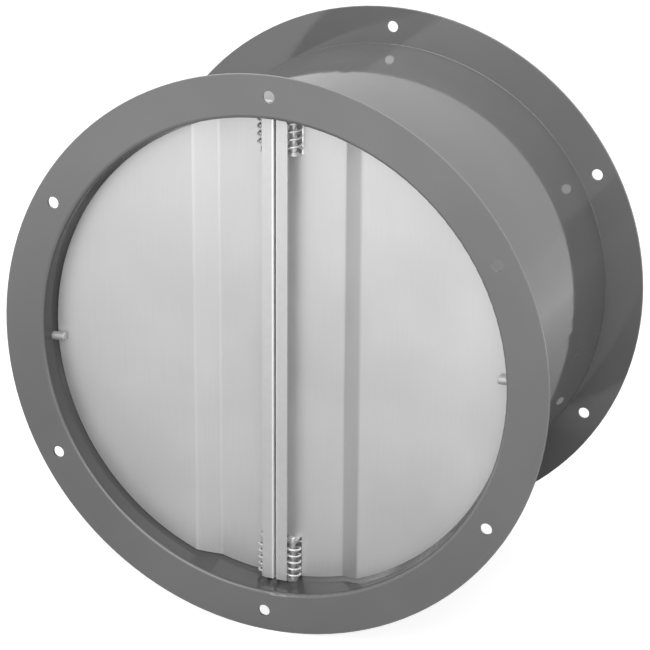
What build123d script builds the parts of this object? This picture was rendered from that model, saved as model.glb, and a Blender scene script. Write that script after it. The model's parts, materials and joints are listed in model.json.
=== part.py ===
from build123d import *
import os
from math import cos, degrees, radians, sin, sqrt

# A duct non-return valve for a 450 mm duct. Two half-round blades hang on a centre
# bar inside a flanged steel casing. Air pushes them open downstream, and torsion
# springs close them against two stop pins when the air stops.
#
# Frame: the origin is the centre of the upstream flange's face, +Y runs downstream
# along the duct, +Z runs up along the hinges and +X to the right, seen from upstream.
# Sizes are in millimetres and angles in degrees.

# Casing: a rolled tube with both ends turned out into flanges
BORE_RADIUS = 223.5
CASING_SHEET = 2.5
CASING_BEND = 0.6
CASING_LENGTH = 302.0
FLANGE_RADIUS = 262.5
BOLT_CIRCLE_RADIUS = 243.5
FLANGE_HOLE_RADIUS = 5.5
FLANGE_HOLES = 6
FLANGE_CLOCKING = -0.6

# Pivots: where each blade turns, measured from the middle of the duct
PIVOT_X = 12.8
PIVOT_Y = 30.9
PIVOT_RADIUS = 3.0
RUNNING_CLEARANCE = 0.05
OPEN_ANGLE = 85.0

# Blades: folded aluminium sheet
BLADE_SHEET = 1.5
BLADE_RADIUS = 220.5
BLADE_INNER_EDGE = 5.0
STEP_START_X = 61.0
STEP_END_X = 80.5
STEP_RISE = 13.2
STEP_BEND = 5.0
BLADE_SETBACK = 4.6

# Ears: folded forward from the blade, each with a bush that turns on a pivot bolt.
# The upper ears, springs and bolt tips sit a little farther out than the lower ones.
EAR_RADIUS = 5.5
EAR_FACE_Z = 182.9
EAR_BEND = 1.25
NOTCH_Z = 180.6
NOTCH_GAP = 0.4
UPPER_SHIFT = 4.5
LOWER_SHIFT = 0.0
BUSH_WALL = 0.7
BUSH_FLANGE_RADIUS = 5.0
BUSH_FLANGE = 0.8

# Centre bar: two folded channels, back to back with a slot between them
BAR_SHEET = 1.5
BAR_FRONT_Y = 18.5
BAR_BACK_Y = 60.0
BAR_HALF_WIDTH = 12.15
BAR_SLOT = 2.0
BAR_BEND = 1.0
BAR_FLANGE_END_Z = 219.0
BAR_CORNER_RADIUS = 4.0
BAR_WEB_CUT_Y = 30.0
BAR_WALL_GAP = 0.1
FOOT_START_Y = 41.0
FOOT_END_Y = 57.0
FOOT_REACH = 14.0

# Rivets
RIVET_RADIUS = 2.0
RIVET_HEAD_RADIUS = 3.8
RIVET_HEAD_HEIGHT = 1.3
COLLAR_RADIUS = 3.2
FOOT_RIVET_X = 8.5
FOOT_RIVET_YS = (45.0, 53.0)
WEB_RIVET_Y = 48.0
WEB_RIVET_ZS = (-160.0, -55.0, 55.0, 160.0)

# Springs
WIRE_RADIUS = 1.1
SPRING_PITCH = 6.5
SPRING_START_Z = 186.0
SPRING_END_Z = 218.5
SPRING_TOUCH_GAP = 0.02
BLADE_LEG = 24.0
LEG_HOLE_RADIUS = 1.5

# Pivot bolts and what is on them
BOLT_TIP_Z = 179.5
BOLT_TIP_CHAMFER = 1.0
BOLT_HOLE_RADIUS = 3.2
HEX_ACROSS_FLATS = 10.0
HEX_CHAMFER = 0.7
BOLT_HEAD_HEIGHT = 4.0
LOCK_NUT_HEIGHT = 3.2
WASHER_RADIUS = 6.0
WASHER_THICKNESS = 1.6
CLIP_RADIUS = 5.2
CLIP_THICKNESS = 0.7
CLIP_GAP = 0.08
GROOVE_RADIUS = 2.5
CLIP_MOUTH = 4.3
CLIP_RELIEF = 1.2

# Stop pins
STOP_RADIUS = 4.0
STOP_REACH = 12.5
STOP_CHAMFER = 0.8
STOP_CLOCKING = 2.8
STOP_BLADE_GAP = 0.1
STOP_SPIGOT_RADIUS = 3.0
STOP_HEAD_RADIUS = 5.0
STOP_HEAD_HEIGHT = 2.0

# Cutters: how long a drill is, and how far a cutter runs past a face
DRILL_LENGTH = 20.0
OVERRUN = 1.0

# Places worked out from the sizes above
CASING_OUTER_RADIUS = BORE_RADIUS + CASING_SHEET
INNER_PLATE_FRONT_Y = PIVOT_Y + BLADE_SETBACK
INNER_PLATE_MID_Y = INNER_PLATE_FRONT_Y + BLADE_SHEET / 2
INNER_PLATE_BACK_Y = INNER_PLATE_FRONT_Y + BLADE_SHEET
OUTER_PLATE_MID_Y = INNER_PLATE_MID_Y - STEP_RISE
OUTER_PLATE_FRONT_Y = INNER_PLATE_FRONT_Y - STEP_RISE
EAR_MID_Z = EAR_FACE_Z - BLADE_SHEET / 2
BUSH_RADIUS = PIVOT_RADIUS + BUSH_WALL
CLIP_Z = EAR_FACE_Z + BUSH_FLANGE + CLIP_GAP
SPRING_RADIUS = INNER_PLATE_BACK_Y + WIRE_RADIUS + SPRING_TOUCH_GAP - PIVOT_Y
SPRING_LEG_Y = PIVOT_Y + SPRING_RADIUS
HEX_CORNER_RADIUS = HEX_ACROSS_FLATS / 2 / cos(radians(30))


def along_duct(radius, start_y, end_y):
    """A round bar on the duct's own axis, from one depth to another."""
    bar = Rot(X=90) * Cylinder(radius, end_y - start_y)
    return Pos(0, (start_y + end_y) / 2, 0) * bar


def block(low, high):
    """A box between two opposite corners."""
    size = [b - a for a, b in zip(low, high)]
    middle = [(a + b) / 2 for a, b in zip(low, high)]
    return Pos(*middle) * Box(*size)


def upright(radius, start_z, end_z):
    """A round bar on the right pivot's axis, from one height to another."""
    return Pos(PIVOT_X, PIVOT_Y, (start_z + end_z) / 2) * Cylinder(radius, end_z - start_z)


def folded_section(points, bend, sheet):
    """The cross-section of a sheet folded along a line, with round bends."""
    with BuildSketch() as section:
        with BuildLine():
            FilletPolyline(*points, radius=bend)
        trace(line_width=sheet)
    return section.sketch


def both_ends(make):
    """A right-hand piece, made for the upper end and for the lower end of a blade."""
    return [make(UPPER_SHIFT), mirror(make(LOWER_SHIFT), Plane.XY)]


def four_corners(upper_right, lower_right=None):
    """The right-hand pieces and their mirror images, by the names of their corners."""
    if lower_right is None:
        lower_right = mirror(upper_right, Plane.XY)
    return {
        "upper_right": upper_right,
        "lower_right": lower_right,
        "upper_left": mirror(upper_right, Plane.YZ),
        "lower_left": mirror(lower_right, Plane.YZ),
    }


def wall_height(x, radius):
    """How high a point of a duct wall of this radius stands above the middle."""
    return sqrt(radius**2 - x**2)


# Casing

def drill(radius):
    """A drill along Z, centred on the origin."""
    return Cylinder(radius, DRILL_LENGTH)


def flange_holes(middle_y):
    """The bolt holes through one flange, clocked from the upright centre line."""
    holes = []
    for number in range(FLANGE_HOLES):
        angle = radians(90 + FLANGE_CLOCKING + number * 360 / FLANGE_HOLES)
        place = Pos(BOLT_CIRCLE_RADIUS * cos(angle), middle_y, BOLT_CIRCLE_RADIUS * sin(angle))
        holes.append(place * Rot(X=90) * drill(FLANGE_HOLE_RADIUS))
    return holes


def make_casing():
    """The tube and its flanges, spun from one folded section, then drilled."""
    half = CASING_SHEET / 2
    section = folded_section(
        [
            (FLANGE_RADIUS, half),
            (BORE_RADIUS + half, half),
            (BORE_RADIUS + half, CASING_LENGTH - half),
            (FLANGE_RADIUS, CASING_LENGTH - half),
        ],
        CASING_BEND + half,
        CASING_SHEET,
    )
    casing = revolve(section, Axis.Y)
    for middle_y in (half, CASING_LENGTH - half):
        casing -= flange_holes(middle_y)
    casing -= list(four_corners(Pos(PIVOT_X, PIVOT_Y, BORE_RADIUS) * drill(BOLT_HOLE_RADIUS)).values())
    for turn, depth in foot_rivet_places():
        casing -= Pos(0, depth, 0) * Rot(Y=turn) * Pos(0, 0, BORE_RADIUS) * drill(RIVET_RADIUS)
    for side_angle in (0, 180):
        casing -= stop_place(side_angle) * Pos(0, 0, BORE_RADIUS) * drill(STOP_SPIGOT_RADIUS)
    return casing


# Centre bar

def lip_reach():
    """How far the bar's back lip reaches out, so that an open blade just meets it."""
    lip_front_y = BAR_BACK_Y - BAR_SHEET
    back_face = INNER_PLATE_BACK_Y - PIVOT_Y
    angle = radians(OPEN_ANGLE)
    along_blade = (lip_front_y - PIVOT_Y - back_face * cos(angle)) / sin(angle)
    return PIVOT_X + along_blade * cos(angle) - back_face * sin(angle) - STOP_BLADE_GAP


def make_right_channel():
    """One half of the bar: front strip, web, back lip and two feet on the wall."""
    half = BAR_SHEET / 2
    section = folded_section(
        [
            (BAR_HALF_WIDTH, BAR_FRONT_Y + half),
            (BAR_SLOT / 2 + half, BAR_FRONT_Y + half),
            (BAR_SLOT / 2 + half, BAR_BACK_Y - half),
            (lip_reach(), BAR_BACK_Y - half),
        ],
        BAR_BEND,
        BAR_SHEET,
    )
    channel = extrude(section, BORE_RADIUS, both=True)
    channel &= along_duct(BORE_RADIUS - BAR_WALL_GAP, 0, CASING_LENGTH)

    lip_front_y = BAR_BACK_Y - BAR_SHEET - BAR_BEND
    for end in (-1, 1):
        low_z, high_z = sorted((end * BAR_FLANGE_END_Z, end * BORE_RADIUS))
        channel -= block((-OVERRUN, 0, low_z), (BORE_RADIUS, BAR_WEB_CUT_Y, high_z))
        channel -= block((-OVERRUN, lip_front_y, low_z), (BORE_RADIUS, CASING_LENGTH, high_z))
    channel -= rounded_corner_waste()

    wall_ring = along_duct(BORE_RADIUS, FOOT_START_Y, FOOT_END_Y)
    wall_ring -= along_duct(BORE_RADIUS - BAR_SHEET, FOOT_START_Y, FOOT_END_Y)
    channel += wall_ring & block(
        (BAR_SLOT / 2, FOOT_START_Y, -BORE_RADIUS),
        (FOOT_REACH, FOOT_END_Y, BORE_RADIUS),
    )

    for end_z in (-SPRING_END_Z, SPRING_END_Z):
        channel -= Pos(0, SPRING_LEG_Y, end_z) * Rot(Y=90) * drill(LEG_HOLE_RADIUS)
    for height in WEB_RIVET_ZS:
        channel -= Pos(0, WEB_RIVET_Y, height) * Rot(Y=90) * drill(RIVET_RADIUS)
    for turn, depth in foot_rivet_places():
        channel -= Pos(0, depth, 0) * Rot(Y=turn) * Pos(0, 0, BORE_RADIUS) * drill(RIVET_RADIUS)
    return channel


def rounded_corner_waste():
    """What is cut away to round the front strip's upper outer corner."""
    middle_x = BAR_HALF_WIDTH - BAR_CORNER_RADIUS
    middle_z = BAR_FLANGE_END_Z - BAR_CORNER_RADIUS
    corner = block(
        (middle_x, BAR_FRONT_Y - OVERRUN, middle_z),
        (BAR_HALF_WIDTH + OVERRUN, BAR_FRONT_Y + BAR_SHEET + OVERRUN, BAR_FLANGE_END_Z + OVERRUN),
    )
    round_part = along_duct(BAR_CORNER_RADIUS, 0, BAR_BACK_Y)
    return corner - Pos(middle_x, 0, middle_z) * round_part


# Rivets

def rivet(grip):
    """A set rivet along +Z, with its near head's flat face at the origin."""
    shank = Pos(0, 0, grip / 2) * Cylinder(RIVET_RADIUS, grip)
    near_head = domed_head(RIVET_HEAD_RADIUS, RIVET_HEAD_HEIGHT)
    far_head = Pos(0, 0, grip) * Rot(X=180) * near_head
    return shank + near_head + far_head


def domed_head(radius, height):
    """A low dome that hangs below the origin, cut from a ball."""
    ball_radius = (radius**2 + height**2) / (2 * height)
    ball = Pos(0, 0, ball_radius - height) * Sphere(ball_radius)
    return ball & block((-radius, -radius, -height), (radius, radius, 0))


def foot_rivet_places():
    """Each foot rivet's turn about the duct's axis from straight up, and its depth."""
    turn = degrees(FOOT_RIVET_X / BORE_RADIUS)
    return [(end + side * turn, depth) for end in (0, 180) for side in (-1, 1) for depth in FOOT_RIVET_YS]


def make_foot_rivets():
    start = wall_height(RIVET_HEAD_RADIUS, BORE_RADIUS - BAR_SHEET)
    grip = CASING_OUTER_RADIUS - start
    places = [Pos(0, depth, 0) * Rot(Y=turn) * Pos(0, 0, start) for turn, depth in foot_rivet_places()]
    return [place * rivet(grip) for place in places]


def make_web_rivets():
    """Distance rivets: a collar on each keeps the two webs apart."""
    grip = BAR_SLOT + 2 * BAR_SHEET
    collar = Pos(0, 0, grip / 2) * Cylinder(COLLAR_RADIUS, BAR_SLOT)
    places = [Pos(-grip / 2, WEB_RIVET_Y, height) * Rot(Y=90) for height in WEB_RIVET_ZS]
    return [place * (rivet(grip) + collar) for place in places]


# Blades

def make_ear(shift):
    """An upper ear of the right blade, folded forward round a bend."""
    with BuildSketch(Plane.YZ) as section:
        with BuildLine():
            FilletPolyline(
                (INNER_PLATE_MID_Y, NOTCH_Z - EAR_RADIUS),
                (INNER_PLATE_MID_Y, EAR_MID_Z),
                (PIVOT_Y - EAR_RADIUS, EAR_MID_Z),
                radius=EAR_BEND,
            )
        trace(line_width=BLADE_SHEET)
    ear = Pos(PIVOT_X - EAR_RADIUS, 0, 0) * extrude(section.sketch, 2 * EAR_RADIUS)
    tip_waste = block(
        (PIVOT_X - EAR_RADIUS, PIVOT_Y - EAR_RADIUS, EAR_FACE_Z - 2 * BLADE_SHEET),
        (PIVOT_X + EAR_RADIUS, PIVOT_Y, EAR_FACE_Z),
    )
    ear -= tip_waste - upright(EAR_RADIUS, EAR_FACE_Z - 3 * BLADE_SHEET, EAR_FACE_Z + OVERRUN)
    ear -= upright(BUSH_RADIUS, EAR_FACE_Z - 3 * BLADE_SHEET, EAR_FACE_Z + OVERRUN)
    return Pos(0, 0, shift) * ear


def make_notch(shift):
    """What is cut from the blade's corner, so that it passes the spring's coil with a gap."""
    coil_radius = SPRING_RADIUS + WIRE_RADIUS
    edge = PIVOT_X + sqrt(coil_radius**2 - BLADE_SETBACK**2) + NOTCH_GAP
    return block((0, 0, NOTCH_Z + shift), (edge, CASING_LENGTH, BORE_RADIUS))


def make_right_blade():
    """Half a disc with a stepped fold, notched for the springs, with an ear at each end."""
    section = folded_section(
        [
            (BLADE_INNER_EDGE, INNER_PLATE_MID_Y),
            (STEP_START_X, INNER_PLATE_MID_Y),
            (STEP_END_X, OUTER_PLATE_MID_Y),
            (BLADE_RADIUS, OUTER_PLATE_MID_Y),
        ],
        STEP_BEND,
        BLADE_SHEET,
    )
    blade = extrude(section, BLADE_RADIUS, both=True)
    blade &= along_duct(BLADE_RADIUS, 0, CASING_LENGTH)
    blade -= both_ends(make_notch)
    return blade + both_ends(make_ear)


def make_bush(shift):
    """A flanged bush, pressed into an upper right ear from the spring's side."""
    bush = upright(BUSH_RADIUS, EAR_FACE_Z - BLADE_SHEET, EAR_FACE_Z)
    bush += upright(BUSH_FLANGE_RADIUS, EAR_FACE_Z, EAR_FACE_Z + BUSH_FLANGE)
    bush -= upright(PIVOT_RADIUS + RUNNING_CLEARANCE, 0, BORE_RADIUS)
    return Pos(0, 0, shift) * bush


# Springs

def make_spring(shift):
    """A torsion spring: one leg lies behind the blade, the other is hooked in the web."""
    start_z = SPRING_START_Z + shift
    length = SPRING_END_Z - start_z
    turns = round(length / SPRING_PITCH)
    path = Helix(pitch=length / turns, height=length, radius=SPRING_RADIUS)
    wire_end = Plane(origin=path @ 0, z_dir=path % 0) * Circle(WIRE_RADIUS)
    spring = Pos(PIVOT_X, PIVOT_Y, start_z) * Rot(Z=90) * sweep(wire_end, path=path, is_frenet=True)
    spring += leg(PIVOT_X, PIVOT_X + BLADE_LEG, start_z)
    spring += leg(BAR_WALL_GAP, PIVOT_X, SPRING_END_Z)
    for height in (start_z, SPRING_END_Z):
        spring += Pos(PIVOT_X, SPRING_LEG_Y, height) * Sphere(WIRE_RADIUS)
    return spring


def leg(start_x, end_x, height):
    """A straight leg of a spring, across the duct."""
    middle = Pos((start_x + end_x) / 2, SPRING_LEG_Y, height)
    return middle * Rot(Y=90) * Cylinder(WIRE_RADIUS, end_x - start_x)


# Pivot bolts, washers, lock nuts and clips

def hexagon(start_z, height):
    """A hexagon on the right pivot's axis, its corners turned down to a chamfer."""
    flats = extrude(RegularPolygon(HEX_ACROSS_FLATS / 2, 6, major_radius=False), height)
    turned = Pos(0, 0, height / 2) * Cylinder(HEX_CORNER_RADIUS, height)
    turned = chamfer(turned.edges().filter_by(GeomType.CIRCLE), HEX_CHAMFER)
    return Pos(PIVOT_X, PIVOT_Y, start_z) * (flats & turned)


def washer_seat():
    """The height at which a flat washer first meets the curved wall, outside."""
    return wall_height(PIVOT_X - WASHER_RADIUS, CASING_OUTER_RADIUS)


def lock_nut_seat():
    """The height at which a lock nut first meets the curved wall, inside."""
    return wall_height(PIVOT_X + HEX_CORNER_RADIUS, BORE_RADIUS)


def make_bolt(shift):
    head_start = washer_seat() + WASHER_THICKNESS
    shank = upright(PIVOT_RADIUS, BOLT_TIP_Z + shift, head_start)
    tip = shank.edges().filter_by(GeomType.CIRCLE).sort_by(Axis.Z)[0]
    shank = chamfer(tip, BOLT_TIP_CHAMFER)
    groove = upright(PIVOT_RADIUS + OVERRUN, CLIP_Z, CLIP_Z + CLIP_THICKNESS)
    groove -= upright(GROOVE_RADIUS, CLIP_Z, CLIP_Z + CLIP_THICKNESS)
    return shank - Pos(0, 0, shift) * groove + hexagon(head_start, BOLT_HEAD_HEIGHT)


def make_washer():
    seat = washer_seat()
    washer = upright(WASHER_RADIUS, seat, seat + WASHER_THICKNESS)
    return washer - upright(BOLT_HOLE_RADIUS, seat, seat + WASHER_THICKNESS)


def make_lock_nut():
    start = lock_nut_seat() - LOCK_NUT_HEIGHT
    return hexagon(start, LOCK_NUT_HEIGHT) - upright(PIVOT_RADIUS, start, start + LOCK_NUT_HEIGHT)


def make_clip(shift):
    """A retaining clip in the bolt's groove: a ring with a mouth and two reliefs."""
    top = CLIP_Z + CLIP_THICKNESS
    clip = upright(CLIP_RADIUS, CLIP_Z, top) - upright(GROOVE_RADIUS, CLIP_Z, top)
    mouth = block((-CLIP_MOUTH / 2, 0, CLIP_Z), (CLIP_MOUTH / 2, CLIP_RADIUS, top))
    clip -= Pos(PIVOT_X, PIVOT_Y, 0) * mouth
    relief_end = GROOVE_RADIUS + CLIP_RELIEF
    relief = block((-relief_end, -CLIP_RELIEF / 2, CLIP_Z), (relief_end, CLIP_RELIEF / 2, top))
    clip -= Pos(PIVOT_X, PIVOT_Y, 0) * relief
    return Pos(0, 0, shift) * clip


# Stop pins

def stop_place(side_angle):
    """Where a stop pin stands: turned to its side of the wall, just ahead of its blade."""
    depth = OUTER_PLATE_FRONT_Y - STOP_BLADE_GAP - STOP_RADIUS
    return Pos(0, depth, 0) * Rot(Y=90 - side_angle - STOP_CLOCKING)


def make_stop_pin(side_angle):
    """A shouldered pin whose spigot passes the wall and is riveted over outside."""
    wall_inside = wall_height(STOP_RADIUS, BORE_RADIUS)
    start = BORE_RADIUS - STOP_REACH
    pin = Pos(0, 0, (start + wall_inside) / 2) * Cylinder(STOP_RADIUS, wall_inside - start)
    tip = pin.edges().filter_by(GeomType.CIRCLE).sort_by(Axis.Z)[0]
    pin = chamfer(tip, STOP_CHAMFER)
    spigot = Cylinder(STOP_SPIGOT_RADIUS, CASING_OUTER_RADIUS - wall_inside)
    pin += Pos(0, 0, (wall_inside + CASING_OUTER_RADIUS) / 2) * spigot
    pin += Pos(0, 0, CASING_OUTER_RADIUS) * Rot(X=180) * domed_head(STOP_HEAD_RADIUS, STOP_HEAD_HEIGHT)
    return stop_place(side_angle) * pin


# Every node by name

def make_nodes():
    right_channel = make_right_channel()
    right_blade = make_right_blade()
    right_bushes = both_ends(make_bush)
    nodes = {
        "casing": make_casing(),
        "right_bar_channel": right_channel,
        "left_bar_channel": Rot(Y=180) * right_channel,
        "bar_web_rivets": make_web_rivets(),
        "bar_foot_rivets": make_foot_rivets(),
        "right_blade": right_blade,
        "left_blade": mirror(right_blade, Plane.YZ),
        "right_blade_bushes": right_bushes,
        "left_blade_bushes": [mirror(bush, Plane.YZ) for bush in right_bushes],
        "pivot_washers": list(four_corners(make_washer()).values()),
        "pivot_lock_nuts": list(four_corners(make_lock_nut()).values()),
        "pivot_clips": list(four_corners(*both_ends(make_clip)).values()),
        "right_stop_pin": make_stop_pin(0),
        "left_stop_pin": make_stop_pin(180),
    }
    for corner, bolt in four_corners(*both_ends(make_bolt)).items():
        nodes[corner + "_pivot_bolt"] = bolt
    for corner, spring in four_corners(*both_ends(make_spring)).items():
        nodes[corner + "_spring"] = spring
    return nodes


os.makedirs("parts", exist_ok=True)
for name, shape in make_nodes().items():
    pieces = shape if isinstance(shape, list) else [shape]
    solids = [solid for piece in pieces for solid in piece.solids()]
    export_step(Compound(children=solids), f"parts/{name}.step")
    print(name, len(solids))
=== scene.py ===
# %% [markdown]
# This lesson dresses a non-return valve for a round ventilation duct. The solid model
# already has every piece at its real size and place, so the script loads it, gives each
# piece its finish, and makes again only what needs finer detail than a solid carries:
# the torsion springs and the threads of the pivot bolts.

# %% Load the solid model
import bpy
import bmesh
import json
from math import pi
from mathutils import Matrix, Vector


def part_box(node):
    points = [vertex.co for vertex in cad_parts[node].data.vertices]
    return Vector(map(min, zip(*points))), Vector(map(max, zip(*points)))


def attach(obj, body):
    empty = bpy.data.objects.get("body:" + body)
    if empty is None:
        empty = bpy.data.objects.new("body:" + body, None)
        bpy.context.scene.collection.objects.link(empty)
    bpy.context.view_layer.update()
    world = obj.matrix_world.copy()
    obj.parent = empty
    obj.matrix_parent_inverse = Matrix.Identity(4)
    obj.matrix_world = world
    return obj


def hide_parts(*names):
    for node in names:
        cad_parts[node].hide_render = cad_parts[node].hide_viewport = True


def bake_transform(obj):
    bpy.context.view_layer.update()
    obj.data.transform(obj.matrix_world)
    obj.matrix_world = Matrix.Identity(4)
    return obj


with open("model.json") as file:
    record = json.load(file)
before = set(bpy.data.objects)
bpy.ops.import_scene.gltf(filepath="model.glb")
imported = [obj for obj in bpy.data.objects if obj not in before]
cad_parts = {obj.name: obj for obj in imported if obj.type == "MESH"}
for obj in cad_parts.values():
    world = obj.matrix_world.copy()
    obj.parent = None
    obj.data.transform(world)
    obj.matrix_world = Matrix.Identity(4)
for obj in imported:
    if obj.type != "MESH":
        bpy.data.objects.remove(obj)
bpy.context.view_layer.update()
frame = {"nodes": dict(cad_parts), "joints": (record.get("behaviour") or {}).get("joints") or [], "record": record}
print("pieces loaded:", len(frame["nodes"]))

# %% [markdown]
# The valve stands with its duct level. The air comes in at the near flange, whose face
# is the plane y = 0, and leaves along +Y. These few places are taken from the loaded
# pieces themselves, so that what is added here always fits them.

# %% Places that the rest of the script builds from
casing_low, casing_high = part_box("casing")
FLANGE_RADIUS = casing_high.z
DUCT_LENGTH = casing_high.y
FLOOR_Z = casing_low.z
DUCT_MIDDLE = Vector((0, DUCT_LENGTH / 2, 0))
HINGES = {"right": frame["joints"][0]["pos_m"], "left": frame["joints"][1]["pos_m"]}
print("flange radius", round(FLANGE_RADIUS, 4), "duct length", round(DUCT_LENGTH, 4))

# %% [markdown]
# The camera stands to the right of the valve and above it, and looks down a little. A long
# lens far away keeps the two flanges nearly the same size, as in a catalogue picture. The
# camera is turned with three directions: where it looks, which way is up in the picture,
# and, from those two, which way is right.

# %% Camera
SENSOR_WIDTH = 36
LENS = 134.6
FARTHEST_SEEN = 20
CAMERA_PLACE = Vector((0.8089, -1.8546, 0.7587))
LOOKS_ALONG = Vector((-0.35421, 0.87268, -0.33610))
PICTURE_UP = Vector((-0.13307, 0.30871, 0.94180))

camera_data = bpy.data.cameras.new("catalogue_camera")
camera_data.sensor_width = SENSOR_WIDTH
camera_data.lens = LENS
camera_data.clip_end = FARTHEST_SEEN
camera = bpy.data.objects.new("catalogue_camera", camera_data)
scene = bpy.context.scene
scene.collection.objects.link(camera)
picture_right = LOOKS_ALONG.cross(PICTURE_UP).normalized()
picture_up = picture_right.cross(LOOKS_ALONG).normalized()
turn = Matrix((picture_right, picture_up, -LOOKS_ALONG.normalized())).transposed()
camera.matrix_world = Matrix.Translation(CAMERA_PLACE) @ turn.to_4x4()
scene.camera = camera
print("camera distance", round((CAMERA_PLACE - DUCT_MIDDLE).length, 3), "m")

# %% [markdown]
# The sky, the floor and every finish are built from shader nodes. Four small helpers keep
# that short: one adds any node with its settings, one does a sum on numbers or on other
# nodes' outputs, one spreads a value from a low to a high setting, and one tells which kind
# of ray is looking.

# %% Helpers for nodes


def add_node(tree, kind, **settings):
    """A new node of this kind, with its settings made."""
    node = tree.nodes.new(kind)
    for name, value in settings.items():
        setattr(node, name, value)
    return node


def calculate(tree, operation, *values):
    """The result of a sum on these values, each a number or the output of another node."""
    node = add_node(tree, "ShaderNodeMath", operation=operation)
    for socket, value in zip(node.inputs, values):
        if isinstance(value, (int, float)):
            socket.default_value = value
        else:
            tree.links.new(value, socket)
    return node.outputs[0]


def spread(tree, value, low, high, start=0.3, end=0.7):
    """Runs from low to high as the value goes from start to end, and stays there beyond them."""
    ramp = tree.nodes.new("ShaderNodeMapRange")
    for name, setting in (("From Min", start), ("From Max", end), ("To Min", low), ("To Max", high)):
        ramp.inputs[name].default_value = setting
    tree.links.new(value, ramp.inputs["Value"])
    return ramp.outputs["Result"]


def seen_by(tree, *rays):
    """One where a ray of one of these kinds looks, and zero elsewhere."""
    path = tree.nodes.new("ShaderNodeLightPath")
    total = path.outputs[rays[0]]
    for other in rays[1:]:
        total = calculate(tree, "MAXIMUM", total, path.outputs[other])
    return total


# %% [markdown]
# The light is a white tent: an even sky and a few broad lamps. The sky is plain white where
# the camera or a reflection sees it, and dimmer where it only lights the pieces. So the
# picture gets its white background, the metal mirrors the same white, and the pale blades
# are not overlit by it.

# %% Sky
SKY_LIGHT = 0.27
PLAIN_WHITE = 1.0

scene.view_settings.view_transform = "Standard"
sky = bpy.data.worlds.new("white_tent")
sky.use_nodes = True
scene.world = sky
background = sky.node_tree.nodes["Background"]
background.inputs["Color"].default_value = (1, 1, 1, 1)
seen_directly = seen_by(sky.node_tree, "Is Camera Ray", "Is Glossy Ray", "Is Transmission Ray")
sky_strength = spread(sky.node_tree, seen_directly, SKY_LIGHT, PLAIN_WHITE, start=0, end=1)
sky.node_tree.links.new(sky_strength, background.inputs["Strength"])
print("sky light", SKY_LIGHT)

# %% [markdown]
# Three lamps shape the valve: a broad one in front and above, one overhead, which brightens
# the outside of the tube, and one behind on the left. Broad lamps give soft edges to the
# shadows behind the centre bar. No lamp stands where the glossy tube would mirror it to the
# camera.

# %% Lamps


def add_lamp(name, place, size, watts):
    """A square soft lamp that points at the middle of the duct."""
    data = bpy.data.lights.new(name, "AREA")
    data.shape = "SQUARE"
    data.size = size
    data.energy = watts
    lamp = bpy.data.objects.new(name, data)
    lamp.location = place
    lamp.rotation_euler = (DUCT_MIDDLE - Vector(place)).to_track_quat("-Z", "Y").to_euler()
    scene.collection.objects.link(lamp)


add_lamp("key_lamp", place=(0.3, -1.3, 0.95), size=2.0, watts=25)
add_lamp("top_lamp", place=(0.3, 0.25, 1.5), size=1.0, watts=7)
add_lamp("back_lamp", place=(-2.3, 1.6, 0.9), size=1.4, watts=20)

# %% [markdown]
# The floor is a wide sheet under the lower edge of the two flanges. It belongs to the
# studio and not to the valve.

# %% Floor sheet
FLOOR_SIZE = 30

floor_mesh = bpy.data.meshes.new("studio_floor")
sheet = bmesh.new()
bmesh.ops.create_grid(sheet, x_segments=1, y_segments=1, size=FLOOR_SIZE / 2)
bmesh.ops.translate(sheet, vec=(0, 0, FLOOR_Z), verts=sheet.verts)
sheet.to_mesh(floor_mesh)
sheet.free()
studio_floor = bpy.data.objects.new("studio_floor", floor_mesh)
scene.collection.objects.link(studio_floor)
print("floor at", round(FLOOR_Z, 4))

# %% [markdown]
# Where the camera looks straight at the floor, it adds white of its own, so that it melts
# into the sky, and what is left to see is the soft shadow of the valve. In reflections it
# is brighter far away than close by, as a lit sweep is, and it brightens sooner towards the
# sides. The upper part of an upright blade mirrors the floor farther off than the lower
# part does, so this is what shades the blades from light at the top to darker below.

# %% Floor finish
FLOOR_TONE = 0.50
FLOOR_ROUGHNESS = 0.9
FLOOR_GLOW = 0.85
MIRRORED_GLOW = 0.85
GLOW_START = 0.74
GLOW_FULL = 1.8
GLOW_SIDEWAYS = 1.35
DARKEST_X = -0.05


def stretched_distance(tree, stretch, shift=(0, 0, 0)):
    """How far a point of the piece lies from the origin, once it is stretched and then shifted."""
    place = tree.nodes.new("ShaderNodeTexCoord")
    moved = add_node(tree, "ShaderNodeVectorMath", operation="MULTIPLY_ADD")
    moved.inputs[1].default_value = stretch
    moved.inputs[2].default_value = shift
    length = add_node(tree, "ShaderNodeVectorMath", operation="LENGTH")
    tree.links.new(place.outputs["Object"], moved.inputs[0])
    tree.links.new(moved.outputs["Vector"], length.inputs[0])
    return length.outputs["Value"]


floor_finish = bpy.data.materials.new("floor_white")
floor_finish.use_nodes = True
tree = floor_finish.node_tree
shader = tree.nodes["Principled BSDF"]
shader.inputs["Base Color"].default_value = (FLOOR_TONE, FLOOR_TONE, FLOOR_TONE, 1)
shader.inputs["Roughness"].default_value = FLOOR_ROUGHNESS
shader.inputs["Emission Color"].default_value = (1, 1, 1, 1)
in_view = seen_by(tree, "Is Camera Ray", "Is Transmission Ray")
seen_glow = calculate(tree, "MULTIPLY", in_view, FLOOR_GLOW)
reach = stretched_distance(tree, (GLOW_SIDEWAYS, 1, 0), (-DARKEST_X * GLOW_SIDEWAYS, 0, 0))
sweep_glow = spread(tree, reach, 0, MIRRORED_GLOW, start=GLOW_START, end=GLOW_FULL)
mirrored_glow = calculate(tree, "MULTIPLY", seen_by(tree, "Is Glossy Ray"), sweep_glow)
tree.links.new(calculate(tree, "ADD", seen_glow, mirrored_glow), shader.inputs["Emission Strength"])
floor_mesh.materials.append(floor_finish)
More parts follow.
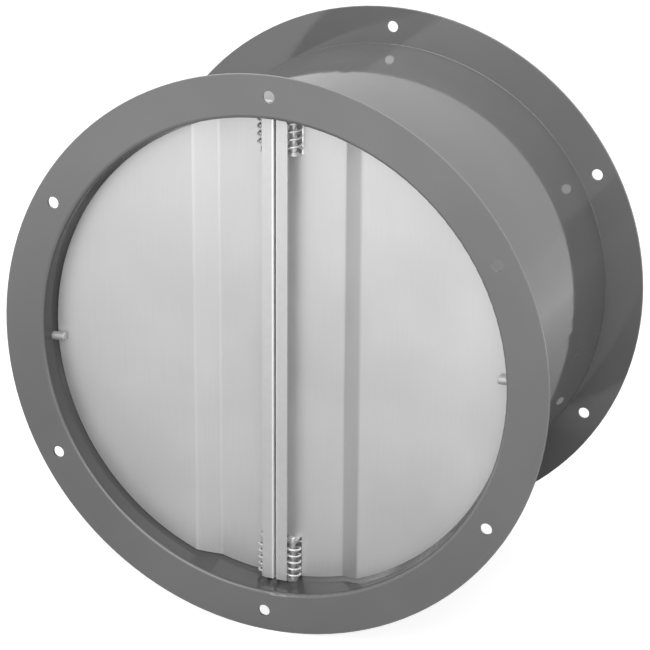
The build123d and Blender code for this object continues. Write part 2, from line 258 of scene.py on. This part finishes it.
print("floor glow begins", GLOW_START, "m away and is full at", GLOW_FULL, "m")

# %% [markdown]
# Every finish below starts from the same few moves: a material with a shader, a pattern
# drawn in the piece's own coordinates, a blend of two colours by that pattern, and a bump.
# Noise drawn out along one direction makes the grain of rolled sheet; noise left round
# makes the peel of paint and the cloudiness of zinc. The bumps are about a tenth of a
# millimetre deep at most, because anything larger is better made as a shape. A Mix node has
# several sockets of one name, so its sockets are picked by number.

# %% Helpers for finishes
FINE_RELIEF = 0.0001
MIX_SHARE = 0
MIX_FIRST = 6
MIX_SECOND = 7
MIX_RESULT = 2


def start_finish(name, metallic=0.0):
    """A new material, its node tree and its shader, with the one setting that is the same all over."""
    finish = bpy.data.materials.new(name)
    finish.use_nodes = True
    shader = finish.node_tree.nodes["Principled BSDF"]
    shader.inputs["Metallic"].default_value = metallic
    return finish, finish.node_tree, shader


def pattern(tree, scale, stretch=(1, 1, 1), detail=3.0, roughness=0.55):
    """Noise in the piece's own coordinates, in metres. A small stretch draws it out that way."""
    place = tree.nodes.new("ShaderNodeTexCoord")
    mapping = tree.nodes.new("ShaderNodeMapping")
    mapping.inputs["Scale"].default_value = stretch
    noise = tree.nodes.new("ShaderNodeTexNoise")
    noise.inputs["Scale"].default_value = scale
    noise.inputs["Detail"].default_value = detail
    noise.inputs["Roughness"].default_value = roughness
    tree.links.new(place.outputs["Object"], mapping.inputs["Vector"])
    tree.links.new(mapping.outputs["Vector"], noise.inputs["Vector"])
    return noise.outputs["Fac"]


def off_middle(tree, axis):
    """How far a point of the piece lies from the valve's middle along this axis, in metres."""
    place = tree.nodes.new("ShaderNodeTexCoord")
    parts = tree.nodes.new("ShaderNodeSeparateXYZ")
    tree.links.new(place.outputs["Object"], parts.inputs["Vector"])
    return calculate(tree, "ABSOLUTE", parts.outputs[axis])


def grey(level):
    """A neutral colour."""
    return (level, level, level)


def blend_colours(tree, share, first, second):
    """A colour between the first and the second, each written out or taken from another node."""
    mix = add_node(tree, "ShaderNodeMix", data_type="RGBA")
    for number, colour in ((MIX_FIRST, first), (MIX_SECOND, second)):
        if isinstance(colour, tuple):
            mix.inputs[number].default_value = (*colour, 1)
        else:
            tree.links.new(colour, mix.inputs[number])
    tree.links.new(share, mix.inputs[MIX_SHARE])
    return mix.outputs[MIX_RESULT]


def raise_surface(tree, shader, height, strength, depth=FINE_RELIEF):
    """Lets a pattern stand up from the surface by this depth, in metres."""
    bump = tree.nodes.new("ShaderNodeBump")
    bump.inputs["Strength"].default_value = strength
    bump.inputs["Distance"].default_value = depth
    tree.links.new(height, bump.inputs["Height"])
    tree.links.new(bump.outputs["Normal"], shader.inputs["Normal"])


def paint_nodes(finish, slot):
    """Gives the finish to every loaded piece of this material slot."""
    nodes = [entry["node"] for entry in frame["record"]["subparts"] if entry["material_slot"] == slot]
    for name in nodes:
        for place in frame["nodes"][name].material_slots:
            place.material = finish
    print(finish.name, "on", len(nodes), "pieces")


# %% [markdown]
# The casing is sprayed with a hard grey stove enamel. A finish of one flat grey would look
# like plastic, so its tone drifts a little over a hand's width. The rim is painted a touch
# lighter, a painted highlight on the edge of the flanges. The wall of the bore and its lip
# are painted darker, painted shade for the little light that reaches inside the tube.
# Distance from the duct's axis tells the rim, the bore and the rest apart.

# %% Casing enamel: tone
DRIFT_SCALE = 7
ENAMEL_DARK = 0.170
ENAMEL_LIGHT = 0.195
RIM_WIDTH = 0.0012
# Painted highlight: the outer rim of the flanges is given a lighter grey.
RIM_PAINTED_HIGHLIGHT_TONE = 0.34
RIM_SHARE = 0.35
BORE_RADIUS = 0.2235
LIP_WIDTH = 0.0012
# Painted shade: the bore wall and its lip are given a darker grey.
BORE_PAINTED_SHADE_TONE = 0.085
BORE_DRIFT = 0.1

enamel, tree, shader = start_finish("grey_stove_enamel")
drift = spread(tree, pattern(tree, DRIFT_SCALE, detail=2), 0, 1)
from_axis = stretched_distance(tree, (1, 0, 1))
# Masks for the painted highlight on the rim and the painted shade in the bore, found by distance from the axis.
painted_rim_highlight = spread(tree, from_axis, 0, RIM_SHARE, start=FLANGE_RADIUS - RIM_WIDTH, end=FLANGE_RADIUS)
in_bore = spread(tree, from_axis, 1, 0, start=BORE_RADIUS, end=BORE_RADIUS + LIP_WIDTH)
body_tone = blend_colours(tree, drift, grey(ENAMEL_DARK), grey(ENAMEL_LIGHT))
outside_tone = blend_colours(tree, painted_rim_highlight, body_tone, grey(RIM_PAINTED_HIGHLIGHT_TONE))
bore_painted_shade_dark = grey(BORE_PAINTED_SHADE_TONE * (1 - BORE_DRIFT))
bore_painted_shade_light = grey(BORE_PAINTED_SHADE_TONE * (1 + BORE_DRIFT))
bore_painted_shade_tone = blend_colours(tree, drift, bore_painted_shade_dark, bore_painted_shade_light)
tree.links.new(blend_colours(tree, in_bore, outside_tone, bore_painted_shade_tone), shader.inputs["Base Color"])
print("enamel tone", ENAMEL_DARK, "to", ENAMEL_LIGHT, "outside and", BORE_PAINTED_SHADE_TONE, "in the bore")

# %% [markdown]
# The enamel is smooth enough to mirror the flange beside it at a low angle, and it has the
# faint peel that spraying leaves. Fine noise on the roughness breaks the gloss, and the
# bore is duller and reflects less than the outside.

# %% Casing enamel: gloss
GLOSS_SCALE = 60
SHINIEST = 0.04
DULLEST = 0.09
BORE_DULLNESS = 0.08
OUTSIDE_SHINE = 0.75
BORE_SHINE = 0.2
PEEL_SCALE = 260
PEEL_STRENGTH = 0.03

tree.links.new(spread(tree, in_bore, OUTSIDE_SHINE, BORE_SHINE, start=0, end=1),
               shader.inputs["Specular IOR Level"])
broken_gloss = spread(tree, pattern(tree, GLOSS_SCALE), SHINIEST, DULLEST)
roughness = calculate(tree, "MULTIPLY_ADD", in_bore, BORE_DULLNESS, broken_gloss)
tree.links.new(roughness, shader.inputs["Roughness"])
raise_surface(tree, shader, pattern(tree, PEEL_SCALE, detail=1.5), PEEL_STRENGTH)
paint_nodes(enamel, "casing_paint")

# %% [markdown]
# The blades are mill-finish aluminium. The rolls leave a grain that runs one way, here up
# and down, and handling leaves a cloudy film that dulls the shine in places. The grain is
# noise drawn out along z; the film is large soft noise on the tone and the roughness.

# %% Blade aluminium
BLADE_METALLIC = 0.82
GRAIN_SCALE = 900
GRAIN_STRETCH = (1, 1, 0.02)
GRAIN_TONE = 0.60
GRAIN_SHARE = 0.25
GRAIN_STRENGTH = 0.05
FILM_SCALE = 9
FILM_DARK = 0.66
FILM_LIGHT = 0.70
BLADE_SHINIEST = 0.38
BLADE_DULLEST = 0.48

aluminium, tree, shader = start_finish("mill_aluminium", BLADE_METALLIC)
grain = pattern(tree, GRAIN_SCALE, stretch=GRAIN_STRETCH, detail=2)
film = pattern(tree, FILM_SCALE)
film_tone = blend_colours(tree, spread(tree, film, 0, 1), grey(FILM_DARK), grey(FILM_LIGHT))
blade_tone = blend_colours(tree, spread(tree, grain, 0, GRAIN_SHARE), film_tone, grey(GRAIN_TONE))
tree.links.new(blade_tone, shader.inputs["Base Color"])
tree.links.new(spread(tree, film, BLADE_SHINIEST, BLADE_DULLEST), shader.inputs["Roughness"])
raise_surface(tree, shader, grain, GRAIN_STRENGTH)
paint_nodes(aluminium, "blade_aluminium")

# %% [markdown]
# The centre bar is galvanised sheet. Hot zinc sets in flat crystals a few millimetres wide,
# which catch the light by turns. Cells of a Voronoi pattern, each with a tone of its own,
# stand for them, kept faint because a thin bar shows them only close up. At the bends beside
# the slot the colour is painted near-white, a painted highlight where the rounded bends catch the light.

# %% Bar zinc
BAR_METALLIC = 0.8
CRYSTAL_SCALE = 260
CRYSTAL_DARK = 0.66
CRYSTAL_LIGHT = 0.68
BAR_SHINIEST = 0.42
BAR_DULLEST = 0.46
# Painted highlight: within this distance of the middle, at the bends beside the slot, the bar is given a
# near-white colour.
BRIGHT_BEND = 0.0028
BEND_FADE = 0.0004
BEND_PAINTED_HIGHLIGHT_TONE = 0.95
ZINC_SCALE = 500
ZINC_STRENGTH = 0.05

zinc_sheet, tree, shader = start_finish("galvanised_sheet", BAR_METALLIC)
place = tree.nodes.new("ShaderNodeTexCoord")
crystals = tree.nodes.new("ShaderNodeTexVoronoi")
crystals.inputs["Scale"].default_value = CRYSTAL_SCALE
tree.links.new(place.outputs["Object"], crystals.inputs["Vector"])
cell_colour = tree.nodes.new("ShaderNodeSeparateColor")
tree.links.new(crystals.outputs["Color"], cell_colour.inputs["Color"])
cell = cell_colour.outputs["Red"]
zinc_tone = blend_colours(tree, cell, grey(CRYSTAL_DARK), grey(CRYSTAL_LIGHT))
# Painted highlight on the bends beside the slot.
painted_bend_highlight = spread(tree, off_middle(tree, "X"), 1, 0, start=BRIGHT_BEND - BEND_FADE, end=BRIGHT_BEND)
bar_tone = blend_colours(tree, painted_bend_highlight, zinc_tone, grey(BEND_PAINTED_HIGHLIGHT_TONE))
bar_gloss = spread(tree, cell, BAR_SHINIEST, BAR_DULLEST, start=0, end=1)
tree.links.new(bar_tone, shader.inputs["Base Color"])
tree.links.new(bar_gloss, shader.inputs["Roughness"])
raise_surface(tree, shader, pattern(tree, ZINC_SCALE, detail=2), ZINC_STRENGTH)
paint_nodes(zinc_sheet, "bar_steel")

# %% [markdown]
# Bolts, nuts, washers, clips and stop pins are turned or stamped steel with a thin bright
# zinc plate. The springs are drawn wire, a shade lighter, the rivets are aluminium, and the
# bushes are pressed from steel powder. One recipe serves them all: a metal whose tone and
# gloss are broken by noise of a few millimetres.

# %% Plated steel, spring wire, rivets and bushes
SHINIER = 0.06
DULLER = 0.08
SMALL_RELIEF = 0.00005
SMALL_STRENGTH = 0.08
FINER = 3


def small_metal(name, dark, light, roughness, scale, metallic=0.9):
    """A metal for small pieces, whose tone and gloss change a little over a few millimetres."""
    finish, tree, shader = start_finish(name, metallic)
    cloud = pattern(tree, scale)
    tone = blend_colours(tree, spread(tree, cloud, 0, 1), grey(dark), grey(light))
    gloss = spread(tree, cloud, roughness - SHINIER, roughness + DULLER)
    tree.links.new(tone, shader.inputs["Base Color"])
    tree.links.new(gloss, shader.inputs["Roughness"])
    raise_surface(tree, shader, pattern(tree, scale * FINER), SMALL_STRENGTH, SMALL_RELIEF)
    return finish


zinc_plate = small_metal(
    "bright_zinc_plate", dark=0.60, light=0.72, roughness=0.40, scale=350, metallic=0.7,
)
spring_wire = small_metal(
    "drawn_spring_wire", dark=0.74, light=0.86, roughness=0.45, scale=500, metallic=0.5,
)
rivet_metal = small_metal("rivet_aluminium", dark=0.58, light=0.70, roughness=0.40, scale=400)
bush_steel = small_metal("sintered_bush_steel", dark=0.50, light=0.60, roughness=0.45, scale=400)
paint_nodes(zinc_plate, "bolt_steel")
paint_nodes(spring_wire, "spring_steel")
paint_nodes(rivet_metal, "rivet_aluminium")
paint_nodes(bush_steel, "bush_steel")

# %% [markdown]
# The stop pins, which the blades strike and the air blows dust on, are duller than the
# bolts. They share the bolts' finish, so it is changed by height: the pins are the only
# plated pieces near the middle height of the duct. The finish already has a tone and a
# gloss, and each is passed through one more node on its way to the shader.

# %% Dusty stop pins
PIN_HEIGHT = 0.10
PIN_FADE = 0.01
PIN_TONE = 0.52
PIN_DULLNESS = 0.2

tree = zinc_plate.node_tree
shader = tree.nodes["Principled BSDF"]
on_pin = spread(tree, off_middle(tree, "Z"), 1, 0, start=PIN_HEIGHT, end=PIN_HEIGHT + PIN_FADE)
bright_tone = shader.inputs["Base Color"].links[0].from_socket
bright_gloss = shader.inputs["Roughness"].links[0].from_socket
pin_tone = blend_colours(tree, on_pin, bright_tone, grey(PIN_TONE))
pin_gloss = calculate(tree, "MULTIPLY_ADD", on_pin, PIN_DULLNESS, bright_gloss)
tree.links.new(pin_tone, shader.inputs["Base Color"])
tree.links.new(pin_gloss, shader.inputs["Roughness"])
print("plated pieces are dull within", PIN_HEIGHT, "m of the middle height")

# %% [markdown]
# A torsion spring is one length of wire. A leg lies along the back of the blade, the coil
# climbs round the pivot bolt, and a second leg runs into a hole in the bar's web. So it is
# made as wire is bent: a ring of the wire's own radius is drawn along the first leg, spun
# round the bolt with a small rise at every step, and drawn along the second leg. The ends
# are closed and their edges broken, as cut wire is when it has been tumbled.

# %% Wire
WIRE_RADIUS = 0.0011
WIRE_SIDES = 14
BROKEN_EDGE = WIRE_RADIUS * 0.3


def draw_wire(mesh, ring, way, steps):
    """Draws the wire on from its last ring, and gives back the new last ring."""
    for _step in range(steps):
        out = bmesh.ops.extrude_edge_only(mesh, edges=ring)
        new_verts = [part for part in out["geom"] if isinstance(part, bmesh.types.BMVert)]
        bmesh.ops.translate(mesh, vec=Vector(way) / steps, verts=new_verts)
        ring = [part for part in out["geom"] if isinstance(part, bmesh.types.BMEdge)
                and part.verts[0] in new_verts and part.verts[1] in new_verts]
    return ring


def close_ends(mesh):
    """Fills the open ends of a wire and breaks their sharp edges."""
    open_edges = [edge for edge in mesh.edges if edge.is_boundary]
    bmesh.ops.holes_fill(mesh, edges=open_edges, sides=WIRE_SIDES)
    bmesh.ops.bevel(mesh, geom=open_edges, offset=BROKEN_EDGE, segments=2, profile=0.5,
                    affect="EDGES", material=-1)


print("wire", WIRE_RADIUS * 2, "m thick,", WIRE_SIDES, "sides")

# %% [markdown]
# Each spring takes its height and its reach from the solid that it replaces, and its axis
# from the hinge.

# %% Torsion springs
SPRING_PITCH = 0.0065
STEPS_PER_TURN = 32
BLADE_LEG_STEPS = 6
WEB_LEG_STEPS = 2


def add_piece(name, mesh, finish):
    """Makes a smooth-shaded piece of a finished mesh, faces outward, and gives it its finish."""
    bmesh.ops.recalc_face_normals(mesh, faces=mesh.faces)
    for face in mesh.faces:
        face.smooth = True
    data = bpy.data.meshes.new(name)
    mesh.to_mesh(data)
    mesh.free()
    data.materials.append(finish)
    piece = bpy.data.objects.new(name, data)
    scene.collection.objects.link(piece)
    return piece


def wind_spring(node, side):
    """A spring of this node's own size, bent from one wire."""
    low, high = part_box(node)
    hinge_x, hinge_y = HINGES[side][0], HINGES[side][1]
    way_x = 1 if side == "right" else -1
    way_z = 1 if low.z > 0 else -1
    blade_end_x = high.x if side == "right" else low.x
    web_end_x = low.x if side == "right" else high.x
    leg_y = high.y - WIRE_RADIUS
    blade_z = (low.z if way_z > 0 else high.z) + way_z * WIRE_RADIUS
    wall_z = (high.z if way_z > 0 else low.z) - way_z * WIRE_RADIUS
    turns = round(abs(wall_z - blade_z) / SPRING_PITCH)
    steps = turns * STEPS_PER_TURN

    mesh = bmesh.new()
    wire_end = Matrix.Translation((blade_end_x, leg_y, blade_z)) @ Matrix.Rotation(pi / 2, 4, "Y")
    bmesh.ops.create_circle(mesh, segments=WIRE_SIDES, radius=WIRE_RADIUS, matrix=wire_end)
    ring = draw_wire(mesh, list(mesh.edges), (hinge_x - blade_end_x, 0, 0), BLADE_LEG_STEPS)
    ring_verts = list(dict.fromkeys(vert for edge in ring for vert in edge.verts))
    coil = bmesh.ops.spin(
        mesh, geom=ring_verts + ring, cent=(hinge_x, hinge_y, 0), axis=(0, 0, way_x),
        dvec=(0, 0, (wall_z - blade_z) / steps), angle=turns * 2 * pi, steps=steps,
    )
    ring = [part for part in coil["geom_last"] if isinstance(part, bmesh.types.BMEdge)]
    draw_wire(mesh, ring, (web_end_x - hinge_x, 0, 0), WEB_LEG_STEPS)
    close_ends(mesh)
    spring = add_piece(node + "_wire", mesh, spring_wire)
    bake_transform(spring)
    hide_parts(node)
    return turns, len(spring.data.polygons)


for side in ("right", "left"):
    for end in ("upper", "lower"):
        turns, faces = wind_spring(f"{end}_{side}_spring", side)
        print(end, side, "spring:", turns, "turns,", faces, "faces")

# %% [markdown]
# The pivot bolts are plain where the blades turn on them and threaded towards the head,
# where the lock nut grips. A rolled thread is a zigzag section that climbs by one pitch in
# each turn, so it can be spun in the same way as a spring. It is laid over the plain shank,
# and its roots stand just inside the shank's surface, so no gap shows.

# %% Bolt threads
THREAD_PITCH = 0.001
THREAD_CREST = 0.0031
THREAD_ROOT = 0.0029
THREAD_START_Z = 0.2135
THREAD_END_Z = 0.2265
THREAD_STEPS = 24
MERGE_DISTANCE = 0.00001


def roll_thread(corner, side):
    """The threaded part of one pivot bolt."""
    way_z = 1 if corner.startswith("upper") else -1
    hinge_x, hinge_y = HINGES[side][0], HINGES[side][1]
    half_pitches = 2 * round((THREAD_END_Z - THREAD_START_Z) / THREAD_PITCH)
    mesh = bmesh.new()
    section = []
    for half in range(half_pitches + 1):
        radius = THREAD_CREST if half % 2 else THREAD_ROOT
        height = THREAD_START_Z + THREAD_PITCH * half / 2
        section.append(mesh.verts.new((hinge_x + radius, hinge_y, way_z * height)))
    edges = [mesh.edges.new(pair) for pair in zip(section, section[1:])]
    bmesh.ops.spin(
        mesh, geom=section + edges, cent=(hinge_x, hinge_y, 0), axis=(0, 0, way_z),
        dvec=(0, 0, way_z * THREAD_PITCH / THREAD_STEPS), angle=2 * pi, steps=THREAD_STEPS,
    )
    bmesh.ops.remove_doubles(mesh, verts=mesh.verts, dist=MERGE_DISTANCE)
    thread = add_piece(corner + "_bolt_thread", mesh, zinc_plate)
    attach(thread, "casing")
    return len(thread.data.polygons)


for side in ("right", "left"):
    for end in ("upper", "lower"):
        print(end, side, "thread:", roll_thread(f"{end}_{side}", side), "faces")
